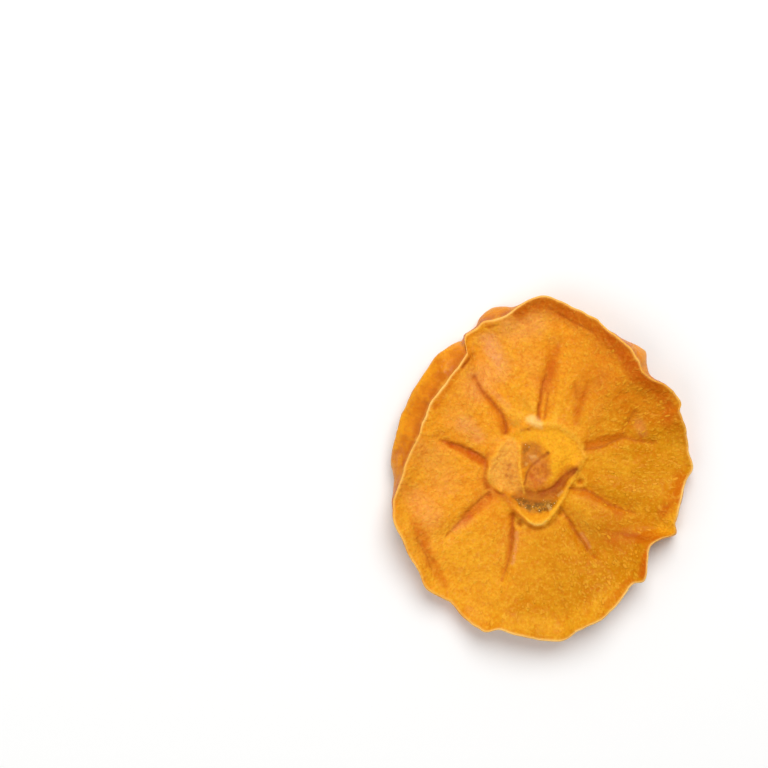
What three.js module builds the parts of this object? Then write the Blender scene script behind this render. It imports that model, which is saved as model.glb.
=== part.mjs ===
// A dried persimmon slice: one piece, cut across the fruit and dried flat, lying cut face up.
// The flesh has shrunk to a thin web. The peel has kept most of its width and stands round the
// web as a wavy rim, with a thin lip above and below. The fruit's seed chambers show as a star
// of slits round the sunken core, on both faces.
// Units are millimetres. +Z is up, +Y is the top of the slice as it lies, and the origin is the
// middle of the bounding box on the surface that the slice rests on.
import * as THREE from "three";

// Driving dimensions
const corePlace = [-1.3, -0.4]; // the fruit's axis, from the middle of the bounding box
const peelWidth = 5.4; // width of the strip of peel between the two cuts
const lipWidth = 0.6; // width of the thin edge at each cut
const lipDrop = 0.3; // how far the peel's side of a lip lies below its crest
const curlWidth = 4.5; // width of the band of flesh that curls up to the lip
const curlPower = 1.8; // how late that band turns up
const webThickness = 2.3; // dried flesh away from the rim
const coreHeight = 3.0; // middle of the web at the core, above the surface
const dishPower = 2.2; // how late the web starts to follow the rim's height
const peelBulge = 0.35; // how far the peel rounds out between its lips
const reliefFade = 3; // the relief dies away over this distance from the lip
const deepest = 1.1; // no groove or hollow of the upper face goes deeper than this
const shoulderWidth = 2.8; // the flesh sinks towards a groove over this many of its widths
const shoulderDepth = 0.25; // and by this share of its depth
const undersideRelief = 0.5; // relief of the underside, as a share of the upper face's

// Mesh density: the widest step between columns, in degrees, and the rings of each face
const widestStep = 3.7;
const upperShares = [
  0.05, 0.095, 0.135, 0.17, 0.2, 0.225, 0.25, 0.275, 0.3, 0.325, 0.355, 0.4, 0.46, 0.52, 0.58, 0.65,
  0.72, 0.79, 0.85, 0.9, 0.94, 0.975, 1,
];
const peelShares = [0, 0.25, 0.5, 0.75, 1];
const undersideShares = [1, 0.97, 0.93, 0.87, 0.78, 0.68, 0.58, 0.48, 0.39, 0.32, 0.26, 0.2, 0.12];

// The rim, anticlockwise from the right, as x and y of the upper lip from the fruit's axis, the
// height of that lip, and how far the lower lip stands out beyond it.
const rim = [
  [31.6, 0.6, 4.6, -0.8],
  [30.6, 4.2, 4.7, -0.8],
  [30.0, 8.4, 6.0, -0.8],
  [28.6, 12.0, 7.0, -0.6],
  [28.8, 13.4, 7.2, -0.8],
  [27.2, 16.0, 7.8, -0.6],
  [22.8, 18.6, 8.8, 0.4],
  [21.0, 20.2, 9.3, 1.9],
  [20.0, 22.2, 9.6, 2.6],
  [17.8, 25.4, 9.3, 0.9],
  [14.6, 28.0, 8.5, -0.6],
  [11.8, 30.6, 8.0, -0.8],
  [7.4, 32.6, 7.3, -0.8],
  [4.8, 34.0, 7.3, -0.8],
  [1.8, 35.0, 7.7, -0.8],
  [-0.6, 34.6, 7.5, -0.8],
  [-3.6, 33.0, 6.7, -0.2],
  [-5.8, 31.4, 6.2, 1.9],
  [-8.2, 30.6, 5.7, 2.4],
  [-10.6, 30.0, 5.0, 1.0],
  [-11.8, 28.8, 4.6, 0],
  [-14.2, 26.6, 4.6, 0],
  [-13.9, 24.4, 5.4, 1.9],
  [-13.8, 23.6, 5.8, 2.8],
  [-15.4, 21.4, 6.6, 4.1],
  [-18.0, 18.0, 7.2, 4.7],
  [-21.2, 13.4, 7.6, 4.3],
  [-23.2, 7.8, 7.9, 4.2],
  [-24.6, 4.8, 7.9, 3.6],
  [-26.4, 1.2, 7.7, 2.6],
  [-27.2, -2.0, 7.5, 1.4],
  [-28.6, -6.0, 7.5, -0.2],
  [-28.6, -10.2, 7.8, -0.8],
  [-27.0, -13.8, 7.7, -0.8],
  [-23.6, -20.0, 6.4, -0.8],
  [-21.8, -23.8, 5.4, -0.8],
  [-17.2, -26.4, 4.6, -0.8],
  [-14.6, -29.4, 4.6, -0.8],
  [-12.0, -31.4, 5.4, -0.6],
  [-10.0, -32.2, 6.3, -0.6],
  [-7.4, -31.8, 7.2, -0.4],
  [-3.4, -33.0, 7.3, -0.6],
  [1.2, -34.0, 6.6, -0.8],
  [4.4, -34.2, 6.3, -0.8],
  [6.4, -33.6, 6.6, -0.8],
  [8.4, -32.0, 7.6, -0.6],
  [12.4, -30.0, 8.4, -0.6],
  [17.0, -25.6, 7.6, -0.8],
  [19.2, -22.4, 7.2, -0.6],
  [21.4, -21.8, 8.3, -0.6],
  [22.0, -17.8, 8.5, -0.4],
  [23.2, -14.6, 7.2, 0.1],
  [25.4, -13.4, 6.2, 0.2],
  [27.9, -12.5, 5.8, 0.2],
  [27.9, -10.4, 5.9, -0.4],
  [28.3, -8.6, 6.2, -0.2],
  [29.0, -6.0, 6.2, 0.2],
  [30.2, -2.0, 4.8, -0.4],
];

// Grooves in the upper face: the nine seed chambers first, then creases of the shrunken flesh.
// A path is in x and y from the fruit's axis, and width is to each side of it.
const grooves = [
  { path: [[-6.1, 7.2], [-6.0, 9.6], [-7.9, 13.0], [-9.9, 15.4], [-11.8, 18.4]], width: 0.9, depth: 1.1 },
  { path: [[1.6, 10.8], [1.9, 14.6], [2.4, 18.0], [3.9, 25.0]], width: 1.3, depth: 0.9 },
  { path: [[8.3, 8.4], [9.6, 12.4], [11.2, 17.0]], width: 1.7, depth: 0.6 },
  { path: [[10.0, 4.8], [13.8, 5.8], [18.7, 7.0], [23.4, 5.6]], width: 0.9, depth: 0.9 },
  { path: [[18.7, 7.0], [20.2, 10.8]], width: 1.1, depth: 0.5 },
  { path: [[6.9, -3.6], [11.4, -3.8], [13.9, -5.8], [19.2, -8.0]], width: 0.9, depth: 1.0 },
  { path: [[5.7, -8.9], [7.5, -11.9], [9.6, -14.8], [11.6, -17.2]], width: 0.9, depth: 1.1 },
  { path: [[-4.4, -9.4], [-4.5, -12.2], [-5.1, -16.3], [-6.5, -22.0]], width: 0.9, depth: 1.1 },
  { path: [[-8.6, -3.9], [-11.0, -6.3], [-13.5, -8.8], [-17.6, -13.0]], width: 1.1, depth: 1.0 },
  { path: [[-10.4, 2.0], [-12.9, 3.6], [-15.9, 5.0], [-19.2, 6.4]], width: 1.0, depth: 1.0 },
  { path: [[-9.0, -3.2], [-10.6, -0.6], [-9.8, 2.4]], width: 0.8, depth: 0.6 },
  { path: [[13.6, -13.2], [18.6, -12.4], [24.0, -12.8]], width: 1.7, depth: 1.1 },
  { path: [[14.0, -15.6], [18.8, -15.2], [21.4, -15.8]], width: 1.1, depth: 0.6 },
];

// Small pits at the inner ends of four chambers.
const pits = [[9.2, -2.1], [4.9, -8.4], [-3.1, -10.7], [-9.2, -5.0]];
const pitWidth = 0.8;
const pitDepth = 0.8;

// Raised ridges: the thin wall of the core, highest at its foot, and the seam across it.
const ridges = [
  { path: [[-7.0, -4.0], [-3.6, -8.2], [0.3, -10.4], [4.4, -6.9], [6.4, -3.4], [7.9, 0.7]], width: 1.0, height: 1.0 },
  { path: [[7.9, 0.7], [9.9, 2.9], [9.1, 7.0], [5.2, 9.1], [-0.9, 9.5], [-4.6, 7.6]], width: 1.1, height: 0.5 },
  { path: [[-3.2, 4.6], [-2.9, 0], [-2.5, -5.0]], width: 0.8, height: 0.6 },
];

// Hollows in the sunken core, which are broader than the grooves.
const hollows = [
  { path: [[-4.4, -4.8], [-0.2, -6.8], [3.4, -5.4], [6.8, -0.4]], width: 2.0, depth: 1.2 },
  { path: [[-0.6, 3.4], [0.8, -0.6]], width: 2.4, depth: 0.7 },
];

const fullTurn = 2 * Math.PI;

const stations = rim
  .map(([x, y, lip, flare]) => ({
    angle: (Math.atan2(y, x) + fullTurn) % fullTurn,
    values: [Math.hypot(x, y), lip, flare],
  }))
  .sort((a, b) => a.angle - b.angle);

// The rim station at any whole number, counted on round the slice.
function stationAt(index) {
  const count = stations.length;
  const laps = Math.floor(index / count);
  const { angle, values } = stations[index - laps * count];
  return { angle: angle + laps * fullTurn, values };
}

// Radius and height of the upper lip, and the lower lip's flare, at any angle: a smooth cubic
// through the stations, closed round the slice.
function rimAt(angle) {
  let next = stations.findIndex((station) => station.angle > angle);
  if (next < 0) next = stations.length;
  const [before, from, to, after] = [-2, -1, 0, 1].map((step) => stationAt(next + step));
  const span = to.angle - from.angle;
  const t = (angle - from.angle) / span;
  const [radius, lip, flare] = from.values.map((start, i) => {
    const end = to.values[i];
    const startSlope = ((end - before.values[i]) / (to.angle - before.angle)) * span;
    const endSlope = ((after.values[i] - start) / (after.angle - from.angle)) * span;
    const a = 2 * (start - end) + startSlope + endSlope;
    const b = 3 * (end - start) - 2 * startSlope - endSlope;
    return ((a * t + b) * t + startSlope) * t + start;
  });
  const drop = Math.sqrt(Math.max(0, peelWidth ** 2 - flare ** 2));
  return { radius, lip, flare, foot: lip - drop, middle: lip - drop / 2 };
}

// Distance from a point to a path of straight stretches.
function distanceToPath(x, y, path) {
  let nearest = Infinity;
  for (let i = 0; i + 1 < path.length; i += 1) {
    const [ax, ay] = path[i];
    const dx = path[i + 1][0] - ax;
    const dy = path[i + 1][1] - ay;
    const along = THREE.MathUtils.clamp(((x - ax) * dx + (y - ay) * dy) / (dx * dx + dy * dy), 0, 1);
    nearest = Math.min(nearest, Math.hypot(x - ax - along * dx, y - ay - along * dy));
  }
  return nearest;
}

const bell = (distance, width) => Math.exp(-((distance / width) ** 2));

// Height of the grooves, pits, hollows and ridges over the plain web, at x and y from the axis.
function relief(x, y) {
  let sunk = 0;
  for (const { path, width, depth } of grooves) {
    const distance = distanceToPath(x, y, path);
    sunk += depth * (1 - shoulderDepth) * bell(distance, width);
    sunk += depth * shoulderDepth * bell(distance, width * shoulderWidth);
  }
  for (const { path, width, depth } of hollows) {
    sunk += depth * bell(distanceToPath(x, y, path), width);
  }
  for (const [pitX, pitY] of pits) {
    sunk += pitDepth * bell(Math.hypot(x - pitX, y - pitY), pitWidth);
  }
  let raised = 0;
  for (const { path, width, height } of ridges) {
    raised += height * bell(distanceToPath(x, y, path), width);
  }
  return raised - deepest * Math.tanh(sunk / deepest);
}

// Height of the middle of the web, which follows the rim more and more towards the lip.
function webMiddle(section, share) {
  return coreHeight + (section.middle - coreHeight) * Math.min(1, share) ** dishPower;
}

// 0 on the web, rising to 1 at a lip, by the distance inside that lip.
const curl = (distance) => Math.max(0, 1 - distance / curlWidth) ** curlPower;

// 1 on the web, falling to 0 at a lip.
const reliefShare = (distance) => THREE.MathUtils.smoothstep(distance, 0, reliefFade);

function onSlice(angle, radius, height) {
  return [corePlace[0] + radius * Math.cos(angle), corePlace[1] + radius * Math.sin(angle), height];
}

// A point of the upper cut face, share of the way from the axis to the upper lip.
function upperPoint(angle, share) {
  const section = rimAt(angle);
  const edge = section.radius - lipWidth;
  const radius = share * edge;
  const inside = edge - radius;
  const web = webMiddle(section, radius / section.radius) + webThickness / 2;
  const lipRise = section.lip - section.middle - webThickness / 2;
  const raised = relief(radius * Math.cos(angle), radius * Math.sin(angle)) * reliefShare(inside);
  return onSlice(angle, radius, web + lipRise * curl(inside) + raised);
}

// A point of the peel, share of the way from the upper lip to the lower one.
function peelPoint(angle, share) {
  const section = rimAt(angle);
  const top = section.lip - lipDrop;
  const bottom = Math.max(0, section.foot) + lipDrop;
  const radius = section.radius + section.flare * share + peelBulge * Math.sin(Math.PI * share);
  return onSlice(angle, radius, top + (bottom - top) * share);
}

// A point of the lower cut face, share of the way from the axis to the lower lip. The surface
// that the slice rests on presses its three lowest stretches flat.
function undersidePoint(angle, share) {
  const section = rimAt(angle);
  const edge = section.radius + section.flare - lipWidth;
  const radius = share * edge;
  const inside = edge - radius;
  const web = webMiddle(section, radius / section.radius) - webThickness / 2;
  const lipFall = section.middle - webThickness / 2 - section.foot;
  const sunk = relief(radius * Math.cos(angle), radius * Math.sin(angle)) * reliefShare(inside);
  return onSlice(angle, radius, Math.max(0, web - lipFall * curl(inside) - undersideRelief * sunk));
}

// Angles of the mesh's columns: every station of the rim, and even steps between them.
function columnAngles() {
  return stations.flatMap(({ angle }, i) => {
    const span = stationAt(i + 1).angle - angle;
    const steps = Math.ceil(THREE.MathUtils.radToDeg(span) / widestStep);
    return Array.from({ length: steps }, (_, step) => angle + (span * step) / steps);
  });
}

// The closed skin of the slice: rings of points from the middle of the upper face out over the
// lip, down the peel and back to the middle of the underside.
function sliceGeometry() {
  const angles = columnAngles();
  const columns = angles.length;
  const rings = [
    ...upperShares.map((share) => (angle) => upperPoint(angle, share)),
    ...peelShares.map((share) => (angle) => peelPoint(angle, share)),
    ...undersideShares.map((share) => (angle) => undersidePoint(angle, share)),
  ];
  const points = [upperPoint(0, 0)];
  for (const ring of rings) points.push(...angles.map(ring));
  points.push(undersidePoint(0, 0));

  const faces = [];
  const last = points.length - 1;
  const corner = (ring, column) => 1 + ring * columns + (column % columns);
  for (let column = 0; column < columns; column += 1) {
    faces.push(0, corner(0, column), corner(0, column + 1));
    for (let ring = 0; ring + 1 < rings.length; ring += 1) {
      const [a, b] = [corner(ring, column), corner(ring, column + 1)];
      const [c, d] = [corner(ring + 1, column + 1), corner(ring + 1, column)];
      faces.push(a, d, c, a, c, b);
    }
    faces.push(last, corner(rings.length - 1, column + 1), corner(rings.length - 1, column));
  }

  const geometry = new THREE.BufferGeometry();
  geometry.setAttribute("position", new THREE.Float32BufferAttribute(points.flat(), 3));
  geometry.setIndex(faces);
  geometry.computeVertexNormals();
  return geometry;
}

const driedFlesh = new THREE.MeshStandardMaterial({ color: 0xe8982a, roughness: 0.5, metalness: 0 });

const slice = new THREE.Mesh(sliceGeometry(), driedFlesh);
slice.name = "persimmon_slice";

const persimmon = new THREE.Group();
persimmon.add(slice);

export default persimmon;
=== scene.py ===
import math

import bpy
import numpy as np
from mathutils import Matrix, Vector


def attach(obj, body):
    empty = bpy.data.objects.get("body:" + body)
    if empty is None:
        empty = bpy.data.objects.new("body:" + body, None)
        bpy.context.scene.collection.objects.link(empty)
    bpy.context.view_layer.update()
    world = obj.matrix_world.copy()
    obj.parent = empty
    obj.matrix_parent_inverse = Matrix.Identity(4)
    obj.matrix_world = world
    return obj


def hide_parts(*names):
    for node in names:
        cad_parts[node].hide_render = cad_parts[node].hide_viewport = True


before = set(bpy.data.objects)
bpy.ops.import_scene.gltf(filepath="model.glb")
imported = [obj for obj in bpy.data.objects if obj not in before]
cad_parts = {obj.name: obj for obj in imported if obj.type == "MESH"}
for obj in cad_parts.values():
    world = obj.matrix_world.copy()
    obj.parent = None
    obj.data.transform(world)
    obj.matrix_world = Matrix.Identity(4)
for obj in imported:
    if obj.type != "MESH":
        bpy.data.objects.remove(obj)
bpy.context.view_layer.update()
print("frame loaded")

mm = 0.001
fullTurn = 2 * math.pi

# The slice's shape, in millimetres. Places are measured from the fruit's axis.
shape = {
    "corePlace": (-1.3, -0.4),  # the fruit's axis in the frame
    "peelWidth": 5.4,  # strip of peel between the two cuts
    "lipWidth": 0.42,
    "lipDrop": 0.22,
    "curlWidth": 4.5,  # band of flesh that turns up to the lip
    "curlPower": 1.8,
    "webThickness": 2.3,
    "coreHeight": 3.0,
    "dishPower": 2.2,
    "peelBulge": 0.35,
    "reliefFade": 3.0,  # from the edge inwards
    "fineFade": 1.2,
    "deepest": 1.1,
    "shoulderWidth": 2.8,
    "shoulderDepth": 0.25,
    "undersideRelief": 0.5,
    "undersideFine": 0.8,
    "undersideMarks": 0.8,
    "columns": 440,
    "upperRings": [(0.01, 0.95, 128), (0.955, 1, 14)],  # first and last share of the radius, how many
    "underRings": [(1, 0.955, 7), (0.94, 0.02, 40)],
    "peelRings": 11,
    "lipTurns": (22, 45, 68),  # degrees round the lip's edge
    "rimRipple": 0.2,  # small kinks of the outline
    "lipRipple": 0.16,  # and of the lip's height
    "cutDepth": 0.3,  # sharp cuts at the bottom of the chambers
    "redDepth": 0.14,
    "rustDepth": 0.15,
    "veinHeight": 0.16,
    "pulpHeight": 0.06,
    "pulpFades": (10, 15),  # radius where the pulp begins to run outwards
    "grainsFade": (11, 14),  # radius where the pale grains begin
    "grainsInside": (0.8, 2.0),  # and how far they stay from the edge
    "slant": 0.6,  # tones change towards the lower right, along x - slant * y
    "ripeFades": (-6, 24),
    "seed": 7,
}

# Tables of noises: strength, sizes or counts to a full turn, and what is added to the seed
noises = {
    "rim": [(0.9, 43, 1), (0.6, 101, 2), (0.45, 190, 6)],
    "lip": [(0.9, 37, 3), (0.5, 89, 4)],
    "flare": [(0.25, 47, 5)],
    "lumps": [(0.16, 6.5, 21), (0.07, 2.3, 22), (0.055, 1.1, 23)],
    "pulp": [(1, 120, 2.6, 24), (0.6, 210, 1.5, 25)],
    "wanderX": [(0.14, 3.2, 30), (0.08, 1.0, 32)],
    "wanderY": [(0.14, 3.2, 31), (0.08, 1.0, 33)],
    "patchy": [(0.16, 1.2, 34), (0.1, 0.6, 35)],
    "wrinkles": [(0.09, 150, 2.5, 40), (0.12, 46, 1.6, 41)],
    "lipHighlight": [(0.3, 90, 1, 50)],
}

# x, y and height of the upper lip, and how far the lower lip stands out beyond it
rim = [
    (31.6, 0.6, 4.6, -0.8), (30.6, 4.2, 4.7, -0.8), (30.0, 8.4, 6.0, -0.8), (28.6, 12.0, 7.0, -0.6),
    (28.8, 13.4, 7.2, -0.8), (27.2, 16.0, 7.8, -0.6), (22.8, 18.6, 8.8, 0.4), (21.0, 20.2, 9.3, 1.9),
    (20.0, 22.2, 9.6, 2.6), (17.8, 25.4, 9.3, 0.9), (14.6, 28.0, 8.5, -0.6), (11.8, 30.6, 8.0, -0.8),
    (7.4, 32.6, 7.3, -0.8), (4.8, 34.0, 7.3, -0.8), (1.8, 35.0, 7.7, -0.8), (-0.6, 34.6, 7.5, -0.8),
    (-3.6, 33.0, 6.7, -0.2), (-5.8, 31.4, 6.2, 1.9), (-8.2, 30.6, 5.7, 2.4), (-10.6, 30.0, 5.0, 1.0),
    (-11.8, 28.8, 4.6, 0), (-14.2, 26.6, 4.6, 0), (-13.9, 24.4, 5.4, 1.9), (-13.8, 23.6, 5.8, 2.8),
    (-15.4, 21.4, 6.6, 4.1), (-18.0, 18.0, 7.2, 4.7), (-21.2, 13.4, 7.6, 4.3), (-23.2, 7.8, 7.9, 4.2),
    (-24.6, 4.8, 7.9, 3.6), (-26.4, 1.2, 7.7, 2.6), (-27.2, -2.0, 7.5, 1.4), (-28.6, -6.0, 7.5, -0.2),
    (-28.6, -10.2, 7.8, -0.8), (-27.0, -13.8, 7.7, -0.8), (-23.6, -20.0, 6.4, -0.8),
    (-21.8, -23.8, 5.4, -0.8), (-17.2, -26.4, 4.6, -0.8), (-14.6, -29.4, 4.6, -0.8),
    (-12.0, -31.4, 5.4, -0.6), (-10.0, -32.2, 6.3, -0.6), (-7.4, -31.8, 7.2, -0.4),
    (-3.4, -33.0, 7.3, -0.6), (1.2, -34.0, 6.6, -0.8), (4.4, -34.2, 6.3, -0.8), (6.4, -33.6, 6.6, -0.8),
    (8.4, -32.0, 7.6, -0.6), (12.4, -30.0, 8.4, -0.6), (17.0, -25.6, 7.6, -0.8), (19.2, -22.4, 7.2, -0.6),
    (21.4, -21.8, 8.3, -0.6), (22.0, -17.8, 8.5, -0.4), (23.2, -14.6, 7.2, 0.1), (25.4, -13.4, 6.2, 0.2),
    (27.9, -12.5, 5.8, 0.2), (27.9, -10.4, 5.9, -0.4), (28.3, -8.6, 6.2, -0.2), (29.0, -6.0, 6.2, 0.2),
    (30.2, -2.0, 4.8, -0.4),
]

grooves = [  # path, width, depth of the seed chambers and creases
    ([(-6.1, 7.2), (-6.0, 9.6), (-7.9, 13.0), (-9.9, 15.4), (-11.8, 18.4)], 0.9, 1.1),
    ([(1.6, 10.8), (1.9, 14.6), (2.4, 18.0), (3.9, 25.0)], 1.3, 0.9),
    ([(8.3, 8.4), (9.6, 12.4), (11.2, 17.0)], 1.7, 0.6),
    ([(10.0, 4.8), (13.8, 5.8), (18.7, 7.0), (23.4, 5.6)], 0.9, 0.9),
    ([(18.7, 7.0), (20.2, 10.8)], 1.1, 0.5),
    ([(6.9, -3.6), (11.4, -3.8), (13.9, -5.8), (19.2, -8.0)], 0.9, 1.0),
    ([(5.7, -8.9), (7.5, -11.9), (9.6, -14.8), (11.6, -17.2)], 0.9, 1.1),
    ([(-4.4, -9.4), (-4.5, -12.2), (-5.1, -16.3), (-6.5, -22.0)], 0.9, 1.1),
    ([(-8.6, -3.9), (-11.0, -6.3), (-13.5, -8.8), (-17.6, -13.0)], 1.1, 1.0),
    ([(-10.4, 2.0), (-12.9, 3.6), (-15.9, 5.0), (-19.2, 6.4)], 1.0, 1.0),
    ([(-9.0, -3.2), (-10.6, -0.6), (-9.8, 2.4)], 0.8, 0.6),
    ([(13.6, -13.2), (18.6, -12.4), (24.0, -12.8)], 1.7, 1.1),
    ([(14.0, -15.6), (18.8, -15.2), (21.4, -15.8)], 1.1, 0.6),
    ([(-24.4, -11.6), (-22.9, -15.8), (-20.8, -19.6)], 0.8, 0.5),
]
pits = {
    "places": [(9.1, -2.2), (4.9, -8.6), (-3.2, -10.7), (-9.3, -5.1)],
    "width": 0.8,
    "depth": 0.8,
    "dark": (0.8, 0.45),  # strength and width of the dark middle
    "ring": (0.55, 1.05, 0.3),  # strength, radius and width of the pale ring
}
ridges = [  # path, width, height
    ([(-7.0, -4.0), (-4.4, -7.4), (-2.6, -9.2), (-1.0, -10.2), (0.6, -10.4), (2.2, -9.6), (4.6, -6.7),
      (6.4, -3.4), (7.9, 0.7)], 1.0, 1.0),
    ([(7.9, 0.7), (9.9, 2.9), (9.1, 7.0), (5.2, 9.1), (-0.9, 9.5), (-4.6, 7.6)], 1.1, 0.5),
    ([(-3.2, 4.6), (-2.9, 0), (-2.5, -5.0)], 0.8, 0.6),
    ([(-9.4, -1.6), (-8.8, 1.6), (-6.6, 5.2)], 0.9, 0.4),
]
hollows = [
    ([(-4.4, -4.8), (-0.2, -6.8), (3.4, -5.4), (6.8, -0.4)], 2.0, 1.2),
    ([(-0.6, 3.4), (0.8, -0.6)], 2.4, 0.7),
]

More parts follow.
